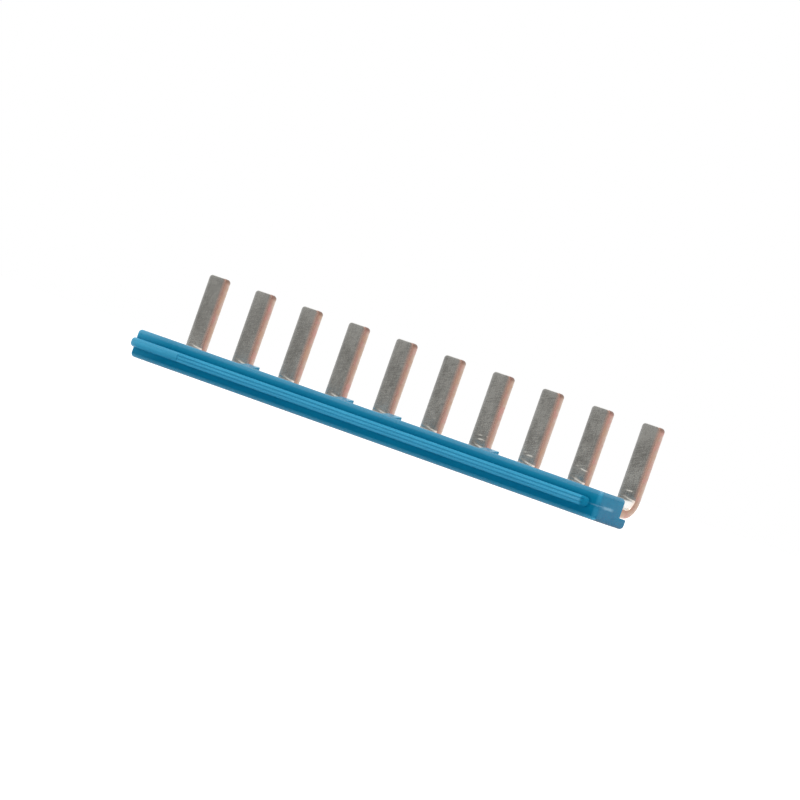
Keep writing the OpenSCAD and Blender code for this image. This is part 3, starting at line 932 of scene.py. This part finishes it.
blue, tree = new_finish("blue_plastic")
place = put(tree, "TexCoord").outputs["Object"]
in_mm = put(tree, "VectorMath", {0: place, "Scale": 1 / MM}, operation="SCALE").outputs["Vector"]
x_mm, y_mm, z_mm = put(tree, "SeparateXYZ", {"Vector": in_mm}).outputs
edge = put(tree, "Attribute", attribute_name="edge").outputs["Fac"]
pale = put(tree, "Attribute", attribute_name="pale").outputs["Fac"]
flow = stretched_noise(tree, in_mm, (0.12, 1.1, 1.1), 3.0)
skin = stretched_noise(tree, in_mm, (6.0, 6.0, 6.0), 3.0)
# noise that makes the painted highlights patchy along the row
light_streaks = stretched_noise(tree, in_mm, (0.2, 4.0, 4.0), 3.0)
# painted light from above: the blue gets lighter towards the top and darker towards the bottom
top_light = ranged(tree, z_mm, 0.3, float(profile_h), 0, 1)
flow_and_top_light = weighed(tree, (ranged(tree, flow, 0.35, 0.65, 0, 1), 0.5), (top_light, 0.5))
body = mixed(tree, flow_and_top_light, BLUE_DEEP, BLUE_FRESH)
# painted highlights where the "pale" number is high
painted_light = maths(tree, "MULTIPLY", ranged(tree, pale, 0, 1, 0, 1),
             ranged(tree, light_streaks, 0.35, 0.65, 0.8, 1.0))
body = mixed(tree, painted_light, body, BLUE_LIT)
# painted light from below along the low edges
body = mixed(tree, ranged(tree, edge, -1, 0, 0.9, 0), body, BLUE_LIT_BELOW)
print("nodes for the blue:", len(tree.nodes))

# %% Scar and seam at the right end
BLUE_SCAR = (0.26, 0.54, 0.73, 1)
SCAR_Z, SCAR_FRONT, SCAR_REAR = 1.47, WEB_FRONT + 1.0, WEB_FRONT + 2.6
end_x = float(RIGHT_END)
waver = maths(tree, "MULTIPLY", maths(tree, "SUBTRACT", skin, 0.5), 0.25)
off_line = maths(tree, "SUBTRACT", maths(tree, "ADD", z_mm, waver), SCAR_Z)
off_line = maths(tree, "ABSOLUTE", off_line)
at_end = ranged(tree, x_mm, end_x - 0.06, end_x - 0.02, 0, 1)
in_scar = maths(tree, "MULTIPLY", ranged(tree, y_mm, SCAR_FRONT - 0.2, SCAR_FRONT + 0.2, 0, 1),
                ranged(tree, y_mm, SCAR_REAR - 0.3, SCAR_REAR + 0.3, 1, 0))
scar = maths(tree, "MULTIPLY", maths(tree, "MULTIPLY", in_scar, at_end),
             ranged(tree, off_line, 0.06, 0.2, 0.8, 0))
near_end = ranged(tree, x_mm, end_x - 1.1, end_x - 0.5, 0, 1)
before_scar = ranged(tree, y_mm, SCAR_FRONT, SCAR_FRONT + 0.3, 0.35, 0)
seam = maths(tree, "MULTIPLY", maths(tree, "MULTIPLY", near_end, before_scar),
             ranged(tree, off_line, 0.03, 0.09, 1, 0))
body = mixed(tree, maths(tree, "MAXIMUM", scar, seam), body, BLUE_SCAR)
print("nodes for the blue and the scar:", len(tree.nodes))

# %% Blue plastic finish
satin = ranged(tree, skin, 0.3, 0.7, 0.2, 0.28)
sheen = maths(tree, "MAXIMUM", ranged(tree, edge, 0, 1, 0.02, 0.58),
              ranged(tree, edge, -1, 0, 0.7, 0.02))
grainy = put(tree, "Bump", {"Strength": 0.12, "Distance": RELIEF_DEPTH, "Height": skin})
plastic = put(tree, "BsdfPrincipled", {"Base Color": body, "Roughness": satin,
                                       "Specular IOR Level": sheen,
                                       "Normal": grainy.outputs["Normal"]})
put(tree, "OutputMaterial", {"Surface": plastic.outputs["BSDF"]})
profile.data.materials.append(blue)
print("nodes in the blue plastic:", len(tree.nodes))

# %% [markdown]
# ## Floor, light and background
# In the photograph the part floats on pure white, is lit softly from above and behind, and
# its front mirrors a darker room. A picture of a room could light it, but a few plain things
# are easier to move. So there is a white floor, a white world, one large soft lamp overhead,
# and a dark cove that lies and stands round the front, where the room was. The cove is
# hidden from the camera: it only shows in the metal and the plastic.

# %% White world
WHITE = (1, 1, 1, 1)
ROOM_LIGHT, SEEN_LIGHT = 0.55, 1.0
world = bpy.data.worlds.new("white_room")
scene.world = world
world.use_nodes = True
tree = world.node_tree
tree.nodes.clear()


def seen_directly(tree):
    """1 for rays that show the background: from the camera, from a mirror or through glass."""
    path = put(tree, "LightPath").outputs
    shown = maths(tree, "MAXIMUM", path["Is Camera Ray"], path["Is Glossy Ray"])
    return maths(tree, "MAXIMUM", shown, path["Is Transmission Ray"])


room = put(tree, "Background", {"Color": WHITE, "Strength": ROOM_LIGHT})
white = put(tree, "Background", {"Color": WHITE, "Strength": SEEN_LIGHT})
sky = put(tree, "MixShader", {0: seen_directly(tree), 1: room.outputs[0], 2: white.outputs[0]})
put(tree, "OutputWorld", {"Surface": sky.outputs[0]})
print("nodes in the world:", len(tree.nodes))

# %% White floor
FLOOR_HALF, FLOOR_DROP = 3.0, 2e-5
FLOOR_PAINT, FLOOR_GLOW = (0.86, 0.86, 0.86, 1), 0.75
floor_mesh = bpy.data.meshes.new("floor")
floor_corners = FLOOR_HALF * np.array([(-1, -1, 0), (1, -1, 0), (1, 1, 0), (-1, 1, 0)])
floor_mesh.from_pydata(floor_corners.tolist(), [], [(0, 1, 2, 3)])
floor = bpy.data.objects.new("floor", floor_mesh)
floor.location.z = -FLOOR_DROP
scene.collection.objects.link(floor)
floor_white, tree = new_finish("floor_white")
paint = put(tree, "BsdfDiffuse", {"Color": FLOOR_PAINT})
glow_light = maths(tree, "MULTIPLY", seen_directly(tree), FLOOR_GLOW)
glow = put(tree, "Emission", {"Color": WHITE, "Strength": glow_light})
both = put(tree, "AddShader", {0: paint.outputs[0], 1: glow.outputs[0]})
put(tree, "OutputMaterial", {"Surface": both.outputs[0]})
floor_mesh.materials.append(floor_white)
print("floor, m:", 2 * FLOOR_HALF)

# %% Overhead lamp
LAMP_SIZE, LAMP_POWER = 0.7, 2.6
LAMP_PLACE = (0.05, 0.1, 0.65)
overhead = bpy.data.lights.new("overhead_softbox", "AREA")
overhead.shape = "DISK"
overhead.size = LAMP_SIZE
overhead.energy = LAMP_POWER
lamp = bpy.data.objects.new("overhead_softbox", overhead)
lamp.location = LAMP_PLACE
scene.collection.objects.link(lamp)
print("lamp, m:", LAMP_SIZE, "at", LAMP_PLACE)

# %% Shape of the dark cove round the front
COVE_R, COVE_BEND, COVE_HIGH = 0.32, 0.05, 0.13
NEAR_ALONG, NEAR_FRONT = 0.08, 0.02
COVE_FROM, COVE_TO, COVE_STEPS = 205, 300, 33
cove_out = np.r_[COVE_R - COVE_BEND * (1 - np.sin(quarter)), COVE_R][:, None]
cove_up = np.r_[0.0, COVE_BEND * (1 - np.cos(quarter)), COVE_HIGH]
round_turn = np.radians(np.linspace(COVE_FROM, COVE_TO, COVE_STEPS))
cove_x = np.vstack([NEAR_ALONG * np.cos(round_turn), cove_out * np.cos(round_turn)])
cove_y = np.vstack([NEAR_FRONT * np.sin(round_turn), cove_out * np.sin(round_turn)])
cove_points = np.stack([cove_x, cove_y, np.broadcast_to(cove_up[:, None], cove_x.shape)], axis=-1)
cove_net = np.arange(cove_points[..., 0].size).reshape(cove_points.shape[:2])
cove_quads = net_quads(cove_net)
print("quads of the cove:", len(cove_quads))

# %% The cove and its grey
COVE_DARK = 0.36
cove_mesh = bpy.data.meshes.new("front_cove")
cove_mesh.from_pydata(cove_points.reshape(-1, 3).tolist(), [], cove_quads.tolist())
cove = bpy.data.objects.new("front_cove", cove_mesh)
scene.collection.objects.link(cove)
cove.visible_camera = cove.visible_shadow = cove.visible_diffuse = False
cove_grey, tree = new_finish("front_cove_grey")
place = put(tree, "TexCoord").outputs["Object"]
rise = put(tree, "SeparateXYZ", {"Vector": place}).outputs["Z"]
fade = ranged(tree, rise, COVE_HIGH / 2, COVE_HIGH, COVE_DARK, 1.0)
shine = put(tree, "Emission", {"Color": WHITE, "Strength": fade})
put(tree, "OutputMaterial", {"Surface": shine.outputs[0]})
cove_mesh.materials.append(cove_grey)
print("nodes in the cove's grey:", len(tree.nodes))

# %% [markdown]
# ## The view
# The picture is shown as it is rendered, with the Standard view.

# %% View settings
scene.view_settings.view_transform = "Standard"
